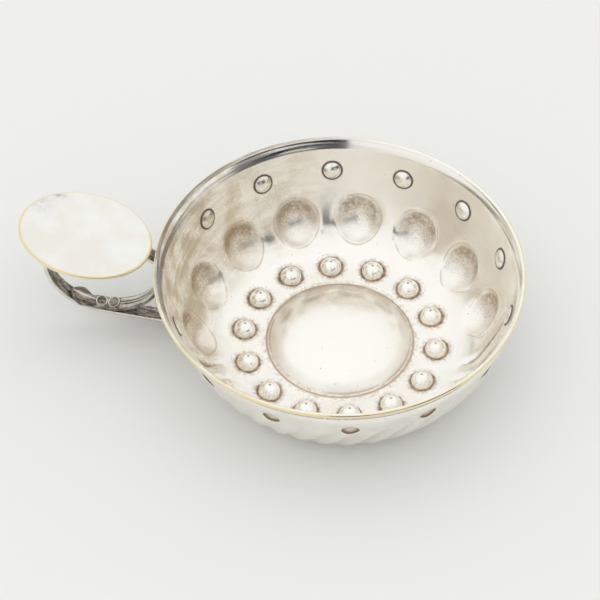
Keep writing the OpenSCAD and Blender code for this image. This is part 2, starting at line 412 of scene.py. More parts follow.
@dataclass(frozen=True)
class StrapSilver:
    """Silver plate on the handle, blackened by tarnish and by painted shade on its inner faces and near
    the cup, rubbed bright on its edges.
    """

    name: str
    bright: Colour = (0.86, 0.83, 0.77, 1)
    warm: Colour = (0.72, 0.64, 0.53, 1)
    # tarnish: colour of the dark tarnish, which also stands for painted shade
    tarnish: Colour = (0.13, 0.10, 0.075, 1)
    soot: Colour = (0.035, 0.03, 0.027, 1)
    depth: float = 0.8

    def material(self) -> bpy.types.Material:
        """Builds the material of one strip of the handle.

        Returns:
            The material.
        """
        g = Graph(self.name)
        here = g.place()
        tarnish_and_shade = g.attribute("tarnish_and_shade")
        proud = g.attribute("proud")
        cloudy = g.noise(here, scale=0.35, detail=4)
        ragged = g.noise(here, scale=1.6, detail=4, roughness=0.65)
        along = g.noise(g.place((0.4, 2.2, 0.4)), scale=0.8, detail=4, roughness=0.6)
        # Dark where the mesh says: tarnish together with painted shade on the faces turned towards the cup
        dark = tarnish_and_shade * self.depth * (0.55 + 0.75 * along.step(0.3, 0.7))
        dark = (dark * (1 - proud.step(0.35, 0.8))).least(1)
        colour = g.mix(cloudy.step(0.35, 0.65) * 0.5, self.bright, self.warm)
        colour = g.mix(dark, colour, self.tarnish)
        colour = g.mix(dark * ragged.step(0.45, 0.62) * 0.8, colour, self.soot)
        return g.finish(
            Base_Color=colour,
            Metallic=1 - 0.5 * dark,
            Roughness=0.2 + 0.25 * dark + 0.1 * ragged,
            Normal=g.bump(ragged, distance=0.05 * MM, strength=0.25),
        )


@dataclass(frozen=True)
class Solder:
    """Dull grey silver solder."""

    grey: Colour = (0.55, 0.52, 0.47, 1)
    dirt: Colour = (0.16, 0.12, 0.085, 1)

    def material(self) -> bpy.types.Material:
        """Builds the solder's material.

        Returns:
            The material.
        """
        g = Graph("silver_solder")
        here = g.place()
        lumps = g.noise(here, scale=1.4, detail=4, roughness=0.6)
        return g.finish(
            Base_Color=g.mix(lumps.step(0.4, 0.65) * 0.8, self.grey, self.dirt),
            Metallic=0.85,
            Roughness=0.35 + 0.2 * lumps,
            Normal=g.bump(lumps, distance=0.1 * MM, strength=0.4),
        )


def polar(radius: float, turn: float) -> np.ndarray:
    """A point at a distance and an angle in degrees."""
    return radius * np.array([math.cos(math.radians(turn)), math.sin(math.radians(turn))])


def arc(centre: np.ndarray, radius: float, start: float, end: float) -> np.ndarray:
    """Points along an arc, from one angle in degrees to another."""
    turns = np.radians(np.linspace(start, end, CURVE_POINTS))
    return np.asarray(centre) + radius * np.column_stack([np.cos(turns), np.sin(turns)])


def cap_radius(foot: float, height: float) -> float:
    """Radius of the sphere whose cap has that foot radius and height."""
    return (foot * foot + height * height) / (2 * height)


def ramp_up(values: np.ndarray, start: float, run: float) -> np.ndarray:
    """Rises evenly from 0 at a start to 1 after a run."""
    return np.clip((values - start) / run, 0, 1)


def stepped(length: float, coarse: float, fine: float, place: float, zone: float) -> list[float]:
    """Distances along a line, closer together near one place.

    Args:
        length: the line's length.
        coarse: the usual step.
        fine: the step near the place.
        place: its distance along the line.
        zone: how near to it the steps are fine.

    Returns:
        The distances, from 0 to the length.
    """
    rows = [0.0]
    while rows[-1] < length - coarse:
        close = abs(rows[-1] - place) < zone
        rows.append(rows[-1] + (fine if close else coarse))
    return [*rows, length]


def spin_line(bm: bmesh.types.BMesh, verts: list[bmesh.types.BMVert], steps: int) -> None:
    """Joins points into a line and spins it round the Z axis.

    Args:
        bm: the mesh that holds the points.
        verts: the points, in order.
        steps: how many faces there are round the axis.
    """
    edges = [bm.edges.new(pair) for pair in zip(verts, verts[1:])]
    bmesh.ops.spin(bm, geom=[*verts, *edges], cent=(0, 0, 0), axis=(0, 0, 1),
                   angle=math.tau, steps=steps, use_merge=True)
    bmesh.ops.remove_doubles(bm, verts=bm.verts, dist=WELD)


class Outline:
    """A line in a plane, softened at its corners and walked by its length."""

    STEP = 0.03 * MM
    SPREAD = 2.5

    def __init__(self, runs: list[np.ndarray], softness: float) -> None:
        """Joins runs of points into one line.

        Args:
            runs: the line's pieces, in order.
            softness: how far from a corner its rounding starts.
        """
        points = self.even(np.vstack(runs))
        points = self.even(self.soften(points, softness))
        self.points = points
        self.walk = self.lengths(points)
        self.length = float(self.walk[-1])
        slope = np.gradient(points, axis=0)
        slope /= np.linalg.norm(slope, axis=1)[:, None]
        self.normals = np.column_stack([-slope[:, 1], slope[:, 0]])

    @staticmethod
    def lengths(points: np.ndarray) -> np.ndarray:
        """Distance walked at each point."""
        steps = np.linalg.norm(np.diff(points, axis=0), axis=1)
        return np.concatenate([[0], np.cumsum(steps)])

    def even(self, points: np.ndarray) -> np.ndarray:
        """The same line with points at even steps."""
        walk = self.lengths(points)
        count = int(walk[-1] / self.STEP) + 2
        at = np.linspace(0, walk[-1], count)
        return np.column_stack([np.interp(at, walk, points[:, i]) for i in (0, 1)])

    def soften(self, points: np.ndarray, softness: float) -> np.ndarray:
        """Rounds the corners by a running average, with the line carried on past both ends."""
        reach = max(int(self.SPREAD * softness / self.STEP), 1)
        weights = np.exp(-0.5 * (np.arange(-reach, reach + 1) * self.STEP / softness) ** 2)
        weights /= weights.sum()
        before = self.beyond(points[0], points[1:reach + 1][::-1])
        after = self.beyond(points[-1], points[-reach - 1:-1][::-1])
        padded = np.vstack([before, points, after])
        return np.column_stack([np.convolve(padded[:, i], weights, "valid") for i in (0, 1)])

    def beyond(self, end: np.ndarray, run: np.ndarray) -> np.ndarray:
        """Carries the line on past an end: mirrored where it ends on the axis, straight elsewhere."""
        return run * np.array([-1, 1]) if end[0] < self.STEP else 2 * end - run

    def at(self, walk: np.ndarray) -> np.ndarray:
        """Points at distances walked."""
        return np.column_stack([np.interp(walk, self.walk, self.points[:, i]) for i in (0, 1)])

    def normal(self, walk: np.ndarray) -> np.ndarray:
        """Normals on the left of the line, at distances walked."""
        return np.column_stack([np.interp(walk, self.walk, self.normals[:, i]) for i in (0, 1)])

    def nearest(self, point: np.ndarray) -> float:
        """Distance walked to the place nearest a point."""
        return float(self.walk[np.argmin(np.linalg.norm(self.points - point, axis=1))])


@dataclass(frozen=True)
class Round:
    """Places that repeat round the cup."""

    count: int
    pitch: float
    first: float

    def fold(self, turn: np.ndarray) -> tuple[np.ndarray, np.ndarray]:
        """Finds the nearest place of the row.

        Args:
            turn: angles round the cup, in degrees.

        Returns:
            The nearest place's angle, and the angle from there.
        """
        last = self.count - 1
        away = (turn - self.first) % 360
        steps = np.round(away / self.pitch)
        if self.count * self.pitch < 359:
            nearer = np.where(360 - away < away - last * self.pitch, 0, last)
            steps = np.where(steps > last, nearer, steps)
        centre = self.first + steps * self.pitch
        return centre, (turn - centre + 180) % 360 - 180


@dataclass(frozen=True)
class Knob:
    """A round swelling on a skin: proud of it where its height is above 0, sunk where below."""

    row: Round
    at: float
    radius: float
    foot: float
    height: float
    soft: float
    tall: float = 1
    wide: float = 1
    skirt: float = 0.3 * MM

    def outline(self) -> Outline:
        """Half of the swelling's own section, from its middle out to the skin around it."""
        high = abs(self.height)
        ball = cap_radius(self.foot, high)
        low = math.degrees(math.asin((ball - high) / ball))
        dome = arc((0, high - ball), ball, 90, low)
        flat = np.array([[self.foot, 0], [self.reach, 0]])
        return Outline([dome, flat], self.soft)

    @property
    def reach(self) -> float:
        """How far from its middle the swelling changes the skin."""
        return self.foot + 4 * self.soft + self.skirt

    @property
    def broad(self) -> bool:
        """Whether the swelling is a cupule, which can do without the finest mesh."""
        return self.foot > BROAD_FOOT

    def measure(self, walk: np.ndarray, turn: np.ndarray) -> tuple[np.ndarray, np.ndarray, np.ndarray]:
        """Measures points of a skin from the nearest swelling of the row.

        Args:
            walk: their distances along the section.
            turn: their angles round the cup.

        Returns:
            The swelling's angle, and the distances up and across from its middle, as on a round one.
        """
        centre, away = self.row.fold(turn)
        up = (walk - self.at) / self.tall
        return centre, up, np.radians(away) * self.radius / self.wide


@dataclass
class Sheet:
    """A skin laid out flat: each point's distance along the section and angle round the cup."""

    walk: np.ndarray
    turn: np.ndarray
    rise: np.ndarray
    marks: dict[str, np.ndarray]

    @classmethod
    def laid_out(cls, flat: np.ndarray) -> "Sheet":
        """A skin with no ornament yet, from its points on the flat disc."""
        walk = np.hypot(flat[:, 0], flat[:, 1])
        turn = np.degrees(np.arctan2(flat[:, 1], flat[:, 0]))
        names = [mark.value for mark in Mark] + ["apex"]
        marks = {name: np.full(len(walk), NOT_NEAR) for name in names}
        return cls(walk, turn, np.zeros(len(walk)), marks | {"dish_up": np.zeros(len(walk))})

    def mark(self, name: str, value: np.ndarray) -> None:
        """Keeps the smaller of a mark's old and new values."""
        self.marks[name] = np.minimum(self.marks[name], value)

    def press(self, knob: Knob, mark: Mark | None) -> None:
        """Presses a row of swellings into the sheet.

        Args:
            knob: the swelling.
            mark: the kind of mark that it leaves, if any.
        """
        line = knob.outline()
        centre, up, across = knob.measure(self.walk, self.turn)
        far = np.hypot(up, across)
        near = far < knob.reach
        out = np.maximum(far, TINY)
        walk = far * line.length / knob.reach
        lateral, height = line.at(walk).T
        shift = np.where(near, lateral / out, 1)
        foot_walk = line.nearest(np.array([knob.foot, 0]))
        if mark in (Mark.BEAD, Mark.PEARL):
            self.mark(mark.value, np.where(near, walk - foot_walk, far - knob.foot) / MM)
        elif mark:
            self.mark(mark.value, far / knob.foot)
        if mark is Mark.BEAD:
            self.mark("apex", far / MM)
        if mark is Mark.DISH:
            self.marks["dish_up"] = np.where(far < 2 * knob.foot, up / knob.foot, self.marks["dish_up"])
        self.walk = np.where(near, knob.at + up * shift * knob.tall, self.walk)
        new_turn = centre + np.degrees(across * shift * knob.wide / knob.radius)
        self.turn = np.where(near, new_turn, self.turn)
        self.rise = np.where(near, self.rise + math.copysign(1, knob.height) * height, self.rise)


@dataclass(frozen=True)
class TarnishAndShade:
    """Where a warm tint, partly tarnish and partly painted shade, and some smoke lie on the cup.

    A plain number is a share of the full strength, a turn is an angle round the cup, and a run is the
    distance over which a share comes in, from where the name with from says.
    """

    wall_from: float = 6 * MM
    wall_run: float = 7 * MM
    wall_least: float = 0.02
    wall_sides: float = 0.62
    wall_handle: float = 0.36
    floor_least: float = 0.06
    floor_front: float = 0.25
    front_from: float = -0.3
    front_run: float = 1.3
    dome_slope: float = 0.4
    slope_run: float = 4 * MM
    dome_back: float = 0.5
    back_turn: float = 8
    back_from: float = 3 * MM
    back_run: float = 5 * MM
    bead_run: float = 0.3
    flute_rub: float = 0.6
    outside: float = 0.2
    smoke_turn: float = 155
    smoke_wide: float = 3.2 * MM
    smoke_run: float = 0.8 * MM
    edge_shift: float = 0.25 * MM


@dataclass
class Bowl:
    """The raised cup, with its lip, dome, beads, pearls, cupules and flutes."""

    rim_d: float = 85 * MM
    high: float = 26.3 * MM
    floor_d: float = 53 * MM
    sheet: float = 0.8 * MM
    corner_r: float = 5 * MM
    wall_r: float = 50 * MM
    lip_h: float = 2.2 * MM
    lip_flare: float = 1.2 * MM
    edge_r: float = 0.55 * MM
    dome_d: float = 34.6 * MM
    dome_h: float = 4.4 * MM
    dome_flat: float = 3.2
    hollow_r: float = 21.5 * MM
    hollow_z: float = 7 * MM
    floor_lift: float = 0.4 * MM
    bead_n: int = 14
    bead_ring_d: float = 45.8 * MM
    bead_d: float = 5.3 * MM
    bead_h: float = 2.6 * MM
    pearl_z: float = 18.6 * MM
    pearl_d: float = 4.8 * MM
    pearl_h: float = 0.95 * MM
    pearl_turn: float = -2.5
    cupule_n: int = 8
    cupule_z: float = 7.4 * MM
    cupule_d: float = 11.8 * MM
    cupule_h: float = 2.5 * MM
    cupule_tall: float = 1.06
    cupule_wide: float = 0.955
    cupule_past: float = 0.5
    flute_n: int = 17
    flute_z: float = 9.2 * MM
    flute_l: float = 18.4 * MM
    flute_h: float = 1.25 * MM
    flute_lean: float = 22
    flute_fade: float = 0.7
    flute_end: float = 1.5 * MM
    groove_blunt_inside: float = 0.05
    groove_blunt_outside: float = 0.3
    handle_side: float = 180
    softness: float = 0.16 * MM
    bead_soft: float = 0.13 * MM
    cupule_soft: float = 0.9 * MM
    edge_wrap: float = 120
    round_steps: int = 224
    row_step: float = 0.9 * MM
    lip_step: float = 0.2 * MM
    lip_zone: float = 4 * MM
    fine_margin: float = 0.2 * MM
    fine_groove: float = 0.3
    wobble: float = 0.05 * MM
    wobble_waves: tuple[tuple[int, float, float], ...] = ((3, 0, 1), (7, 0.21, 0), (5, 0.37, 0))
    wobble_from: float = 15 * MM
    wobble_run: float = 15 * MM
    wobble_lip: float = 6 * MM
    lip_bow: float = 0.06 * MM
    pulled: float = 1.06 * MM
    pulled_turn: float = 160
    pulled_from: float = 21 * MM
    bulge: float = 0.8 * MM
    bulge_turn: float = -65
    bulge_run: float = 4 * MM
    bulge_top: float = 22.5 * MM
    bulge_fade: float = 3 * MM
    # Where the warm tint with its painted shade, and the smoke, lie on the cup
    tarnish: TarnishAndShade = field(default_factory=TarnishAndShade)
    finish: SilverPlate = field(default_factory=SilverPlate)

    def __post_init__(self) -> None:
        """Works out the section from the driving sizes."""
        self.pitch = 360 / self.bead_n
        self.foot = np.array([self.rim_d / 2 - self.lip_flare, self.high - self.lip_h])
        self.edge_c = np.array([self.rim_d / 2 - self.edge_r, self.high - self.edge_r])
        self.corner_c = np.array([self.floor_d / 2, self.corner_r])
        self.wall_c = self.wall_centre()
        turn = self.corner_c - self.wall_c
        self.corner_turn = math.degrees(math.atan2(turn[1], turn[0]))
        lip = self.edge_c - (self.foot - np.array([self.sheet / 2, 0]))
        self.lip_dir = lip / np.linalg.norm(lip)
        self.lip_out = np.array([self.lip_dir[1], -self.lip_dir[0]])
        self.section = Outline(self.runs(), self.softness)
        crest = self.edge_c + self.edge_r * self.lip_dir
        self.crest = self.section.nearest(crest)

    def wall_centre(self) -> np.ndarray:
        """Centre of the wall's arc, which passes the lip's foot and runs into the corner's arc."""
        across = self.foot - self.corner_c
        chord = float(np.linalg.norm(across))
        along = across / chord
        inner = self.wall_r - self.corner_r
        run = (inner ** 2 - self.wall_r ** 2 + chord ** 2) / (2 * chord)
        rise = math.sqrt(inner ** 2 - run ** 2)
        return self.corner_c + run * along + rise * np.array([-along[1], along[0]])

    def depth(self, skin: Skin) -> float:
        """Depth of a skin below the outside of the sheet."""
        return self.sheet if skin is Skin.INSIDE else 0.0

    def on_skin(self, walk: np.ndarray, skin: Skin) -> np.ndarray:
        """Which points lie on a skin, by their distances along the section."""
        return (walk < self.crest) == (skin is Skin.INSIDE)

    def wall_turn(self, z: float, depth: float) -> float:
        """Angle on the wall's arc at a height, on the skin at that depth below the outside."""
        return math.degrees(math.asin((z - self.wall_c[1]) / (self.wall_r - depth)))

    def wall_point(self, z: float, depth: float) -> np.ndarray:
        """Point of a skin at a height."""
        return self.wall_c + polar(self.wall_r - depth, self.wall_turn(z, depth))

    def skin_runs(self, depth: float) -> list[np.ndarray]:
        """One skin's line, from the middle of the floor up to the lip's edge."""
        share = np.linspace(0, 1, CURVE_POINTS)
        floor = depth + (self.floor_lift if depth else 0)
        crown = floor + self.dome_h * (1 - share ** self.dome_flat)
        dome = np.column_stack([share * self.dome_d / 2, crown])
        top = self.wall_turn(self.foot[1], depth)
        if depth:
            low = self.wall_turn(self.hollow_z, depth)
            slope = np.array([-math.sin(math.radians(low)), math.cos(math.radians(low))])
            end = self.wall_point(self.hollow_z, depth)
            knee = np.array([end[0] - (end[1] - floor) * slope[0] / slope[1], floor])
            start = np.array([self.hollow_r, floor])
            t = share[:, None]
            corner = (1 - t) ** 2 * start + 2 * t * (1 - t) * knee + t ** 2 * end
        else:
            low = self.corner_turn
            corner = arc(self.corner_c, self.corner_r, -90, low)
        wall = arc(self.wall_c, self.wall_r - depth, low, top)
        edge = self.edge_c + (self.sheet / 2 - depth) * self.lip_out
        return [dome, corner, wall, edge[None, :]]

    def runs(self) -> list[np.ndarray]:
        """The closed section's line: up the inside, over the lip's edge and down the outside."""
        lip_turn = math.degrees(math.atan2(self.lip_dir[1], self.lip_dir[0]))
        inside = self.skin_runs(self.sheet)
        over = arc(self.edge_c, self.edge_r, lip_turn + self.edge_wrap, lip_turn - self.edge_wrap)
        outside = [run[::-1] for run in self.skin_runs(0)[::-1]]
        up, down = self.bowed(inside[-2][-1], over[0]), self.bowed(over[-1], outside[1][0])
        return [*inside[:-1], up, over, down, *outside[1:]]

    def bowed(self, start: np.ndarray, end: np.ndarray) -> np.ndarray:
        """Points of the lip between its foot and its edge, which bows a little inward."""
        share = np.linspace(0, 1, LIP_POINTS)[1:-1, None]
        return start + share * (end - start) - 4 * self.lip_bow * share * (1 - share) * self.lip_out

    def blank(self) -> bmesh.types.BMesh:
        """Spins the flat disc that the cup is raised from."""
        rows = stepped(self.section.length, self.row_step, self.lip_step, self.crest, self.lip_zone)
        bm = bmesh.new()
        spin_line(bm, [bm.verts.new((row, 0, 0)) for row in rows], self.round_steps)
        return bm

    def knobs(self) -> list[tuple[Knob, Mark | None]]:
        """Every swelling on both skins, with the mark that it leaves."""
        all_round = Round(self.bead_n, self.pitch, self.handle_side)
        under_rim = Round(self.bead_n - 1, self.pitch, self.handle_side + self.pitch + self.pearl_turn)
        before_handle = (self.cupule_n - 1 - self.cupule_past) * self.pitch
        between = Round(self.cupule_n, self.pitch, self.handle_side - before_handle)
        marks = {
            Skin.INSIDE: (Mark.BEAD, Mark.PEARL, Mark.DISH),
            Skin.OUTSIDE: (Mark.DIMPLE, Mark.DIMPLE, None),
        }
        made = []
        for skin in Skin:
            depth, sign = self.depth(skin), skin.value
            grown = depth - self.sheet
            bead = np.array([self.bead_ring_d / 2, depth])
            pearl = self.wall_point(self.pearl_z, depth)
            cupule = self.wall_point(self.cupule_z, depth)
            rows = (
                (all_round, bead, self.bead_d, sign * self.bead_h, grown, self.bead_soft),
                (under_rim, pearl, self.pearl_d, sign * self.pearl_h, grown, self.bead_soft),
                (between, cupule, self.cupule_d, -sign * self.cupule_h, -grown, self.cupule_soft),
            )
            made += zip((self.knob(*row) for row in rows), marks[skin])
        return made

    def knob(self, row: Round, point: np.ndarray, across: float, height: float, grown: float,
             soft: float) -> Knob:
        """A swelling on one skin.

        Args:
            row: where it repeats.
            point: its middle, in the section.
            across: its foot's diameter on the inside skin.
            height: its height off this skin, below 0 where it is sunk.
            grown: how much larger its ball is on this skin than on the inside one.
            soft: how far its foot is rounded.

        Returns:
            The swelling.
        """
        high = abs(height)
        ball = cap_radius(across / 2, high)
        low = ball - high + grown
        base = math.sqrt((ball + grown) ** 2 - low ** 2)
        broad = across / 2 > BROAD_FOOT
        tall = self.cupule_tall if broad else 1
        wide = self.cupule_wide if broad else 1
        return Knob(row, self.section.nearest(point), float(point[0]), base, height, soft, tall, wide)

    def flute_row(self) -> Round:
        """The grooves between the flutes, on the half without cupules."""
        span = 360 - self.cupule_n * self.pitch
        pitch = span / self.flute_n
        return Round(self.flute_n, pitch, self.handle_side + self.pitch + pitch / 2)

    def groove(self, sheet: Sheet, skin: Skin) -> tuple[np.ndarray, np.ndarray]:
        """Measures each point against the nearest groove.

        Args:
            sheet: the skin laid out flat.
            skin: which skin it is.

        Returns:
            Distance across the groove as a share of half the flutes' pitch, and depth there from 0 to 1.
        """
        row = self.flute_row()
        middle = self.wall_point(self.flute_z, self.depth(skin))
        along = skin.value * (sheet.walk - self.section.nearest(middle))
        slip = np.degrees(math.tan(math.radians(self.flute_lean)) * along / middle[0])
        turn = row.fold(sheet.turn - slip)[1]
        share = np.minimum(np.abs(turn) / (row.pitch / 2), 1)
        reach = np.clip(1 - (2 * along / self.flute_l) ** 2, 0, 1)
        return share, reach ** self.flute_fade

    def press_flutes(self, sheet: Sheet) -> None:
        """Presses the leaning flutes: broad lobes between narrow grooves."""
        half_pitch = math.radians(self.flute_row().pitch / 2) * self.rim_d / 2
        for skin in Skin:
            mine = self.on_skin(sheet.walk, skin)
            share, depth = self.groove(sheet, skin)
            blunt = self.groove_blunt_inside if skin is Skin.INSIDE else self.groove_blunt_outside
            share = np.sqrt(share ** 2 + blunt ** 2)
            sink = self.flute_h * depth * np.clip(1 - share, 0, 1) ** 2
            sheet.rise = np.where(mine, sheet.rise - skin.value * sink, sheet.rise)
            if skin is Skin.INSIDE:
                beside = (share * half_pitch + self.flute_end * (1 - depth)) / MM
                sheet.mark(Mark.GROOVE.value, np.where(mine, beside, NOT_NEAR))

    def refine(self, bm: bmesh.types.BMesh) -> None:
        """Cuts the blank's faces smaller where ornament needs them."""
        for fine in (False, True):
            faces = list(bm.faces)
            sheet = Sheet.laid_out(np.array([face.calc_center_median()[:2] for face in faces]))
            chosen = np.zeros(len(faces), bool)
            for knob, _ in self.knobs():
                _, up, across = knob.measure(sheet.walk, sheet.turn)
                if not (fine and knob.broad):
                    chosen |= np.hypot(up, across) < knob.reach + self.fine_margin
            for skin in Skin:
                share, depth = self.groove(sheet, skin)
                cut = (depth > 0) & self.on_skin(sheet.walk, skin)
                if not fine:
                    chosen |= cut
                elif skin is Skin.INSIDE:
                    chosen |= cut & (share < self.fine_groove)
            edges = dict.fromkeys(edge for face, take in zip(faces, chosen) if take for edge in face.edges)
            bmesh.ops.subdivide_edges(bm, edges=list(edges), cuts=1, use_grid_fill=True)

    def raise_up(self, bm: bmesh.types.BMesh) -> None:
        """Presses the ornament and rolls the flat disc up along the section."""
        verts = list(bm.verts)
        sheet = Sheet.laid_out(np.array([vert.co[:2] for vert in verts]))
        walk = sheet.walk
        for knob, mark in self.knobs():
            sheet.press(knob, mark)
        self.press_flutes(sheet)
        self.hammer(sheet, walk)
        turns = np.radians(sheet.turn)
        points = self.section.at(sheet.walk) + sheet.rise[:, None] * self.section.normal(sheet.walk)
        self.bend(points, turns)
        for vert, (out, high), angle in zip(verts, points, turns):
            vert.co = (out * math.cos(angle), out * math.sin(angle), high)
        self.paint(bm, sheet)

    def hammer(self, sheet: Sheet, walk: np.ndarray) -> None:
        """Leaves the sheet uneven, as hammering does, apart from the dome and the lip.

        Args:
            sheet: the skin with its ornament.
            walk: each point's distance along the section before the ornament moved it.
        """
        turns = np.radians(sheet.turn)
        waves = sum(np.sin(turns * n + walk / MM * lean + start) for n, lean, start in self.wobble_waves)
        from_middle = np.minimum(walk, self.section.length - walk)
        fade = ramp_up(from_middle, self.wobble_from, self.wobble_run)
        fade *= ramp_up(np.abs(walk - self.crest), 0, self.wobble_lip)
        sign = np.where(self.on_skin(sheet.walk, Skin.INSIDE), Skin.INSIDE.value, Skin.OUTSIDE.value)
        sheet.rise += sign * self.wobble * waves * fade

    def bend(self, points: np.ndarray, turns: np.ndarray) -> None:
        """Pulls the rim out towards the handle, presses the body out in front and dips nothing below 0.

        Args:
            points: each point's distance out from the axis and height, which are changed.
            turns: each point's angle round the cup, in radians.
        """
        lifted = ramp_up(points[:, 1], self.pulled_from, self.high - self.pulled_from)
        towards = (1 + np.cos(turns - math.radians(self.pulled_turn))) / 2
        points[:, 0] += self.pulled * towards ** 2 * lifted ** 1.5
        ahead = np.clip(np.cos(turns - math.radians(self.bulge_turn)), 0, 1) ** 1.5
        low = ramp_up(points[:, 0], self.floor_d / 2, self.bulge_run)
        top = ramp_up(points[:, 1], self.bulge_top, self.bulge_fade)
        points[:, 0] += self.bulge * ahead * low * (1 - top)
        points[:, 1] = np.maximum(points[:, 1], 0)

    def paint(self, bm: bmesh.types.BMesh, sheet: Sheet) -> None:
        """Writes on the mesh the numbers that its finish reads.

        Args:
            bm: the raised mesh.
            sheet: the skin that it was rolled up from, in the same order.
        """
        stain_and_shade = self.tarnish
        inside = self.on_skin(sheet.walk, Skin.INSIDE)
        turns = np.radians(sheet.turn)
        foot = self.section.nearest(np.array([self.dome_d / 2, self.sheet]))
        corner = self.section.nearest(np.array([self.hollow_r, self.sheet + self.floor_lift]))
        # Warm tint, partly tarnish and partly painted shade: strongest on the wall towards the handle,
        # less on the right wall, little on the front and back walls, more at the front of the floor and on
        # the dome's slope and back
        climb = ramp_up(sheet.walk, corner + stain_and_shade.wall_from, stain_and_shade.wall_run)
        ahead = np.cos(turns)
        wall = stain_and_shade.wall_least + stain_and_shade.wall_sides * np.abs(ahead) - stain_and_shade.wall_handle * ahead
        front = ramp_up(-np.sin(turns), stain_and_shade.front_from, stain_and_shade.front_run)
        floor = stain_and_shade.floor_least + stain_and_shade.floor_front * front
        slope = stain_and_shade.dome_slope * ramp_up(sheet.walk, foot - stain_and_shade.slope_run, stain_and_shade.slope_run)
        behind = sheet.walk * np.sin(turns - math.radians(stain_and_shade.back_turn))
        crown = stain_and_shade.dome_back * ramp_up(behind, stain_and_shade.back_from, stain_and_shade.back_run)
        base = np.where(sheet.walk < foot, np.maximum(slope, crown), floor)
        warm_tint_and_shade = climb * wall + (1 - climb) * base
        share, depth = self.groove(sheet, Skin.INSIDE)
        warm_tint_and_shade *= ramp_up(sheet.marks[Mark.BEAD.value], -stain_and_shade.bead_run, stain_and_shade.bead_run)
        warm_tint_and_shade *= 1 - stain_and_shade.flute_rub * depth * (share < 1)
        on_lip = inside * ramp_up(sheet.walk, self.crest - stain_and_shade.smoke_wide, stain_and_shade.smoke_run)
        numbers = sheet.marks | {
            "smoke": on_lip * np.clip(np.cos(turns - math.radians(stain_and_shade.smoke_turn)), 0, 1) ** 2,
            "warm_tint_and_shade": np.where(inside, warm_tint_and_shade, stain_and_shade.outside),
            "foot": (sheet.walk - foot) / MM,
            "lip": np.abs(sheet.walk - self.section.nearest(self.foot)) / MM,
            "edge": np.abs(sheet.walk - self.crest - stain_and_shade.edge_shift) / MM,
        }
        for name, values in numbers.items():
            layer = bm.verts.layers.float.new(name)
            for vert, value in zip(bm.verts, values):
                vert[layer] = float(value)

    def build(self) -> bpy.types.Object:
        """Makes the cup's piece.

        Returns:
            The object, dressed and riding on its body.
        """
        bm = self.blank()
        self.refine(bm)
        self.raise_up(bm)
        bmesh.ops.remove_doubles(bm, verts=bm.verts, dist=WELD)
        return finished(bm, "cup", "bowl", self.finish.material())


def finished(bm: bmesh.types.BMesh, name: str, node: str,
             material: bpy.types.Material) -> bpy.types.Object:
    """Turns a bmesh into a piece that stands for a CAD node.

    Args:
        bm: the modelled mesh, which is freed.
        name: the piece's name.
        node: the CAD node that it replaces.
        material: its material.

    Returns:
        The object.
    """
    bmesh.ops.recalc_face_normals(bm, faces=bm.faces)
    mesh = bpy.data.meshes.new(name)
    for face in bm.faces:
        face.smooth = True
    bm.to_mesh(mesh)
    bm.free()
    mesh.materials.append(material)
    piece = bpy.data.objects.new(name, mesh)
    bpy.context.scene.collection.objects.link(piece)
    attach(piece, BODY)
    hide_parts(node)
    return piece


@dataclass(frozen=True)
class DarkSpot:
    """A soft dark spot on the thumb plate."""

    middle: tuple[float, float]
    spread: tuple[float, float]
    strength: float

    def at(self, x: float, y: float) -> float:
        """How strong the spot is at a point of the plate."""
        away = math.hypot((x - self.middle[0]) / self.spread[0], (y - self.middle[1]) / self.spread[1])
        return self.strength * math.exp(-away ** 2)


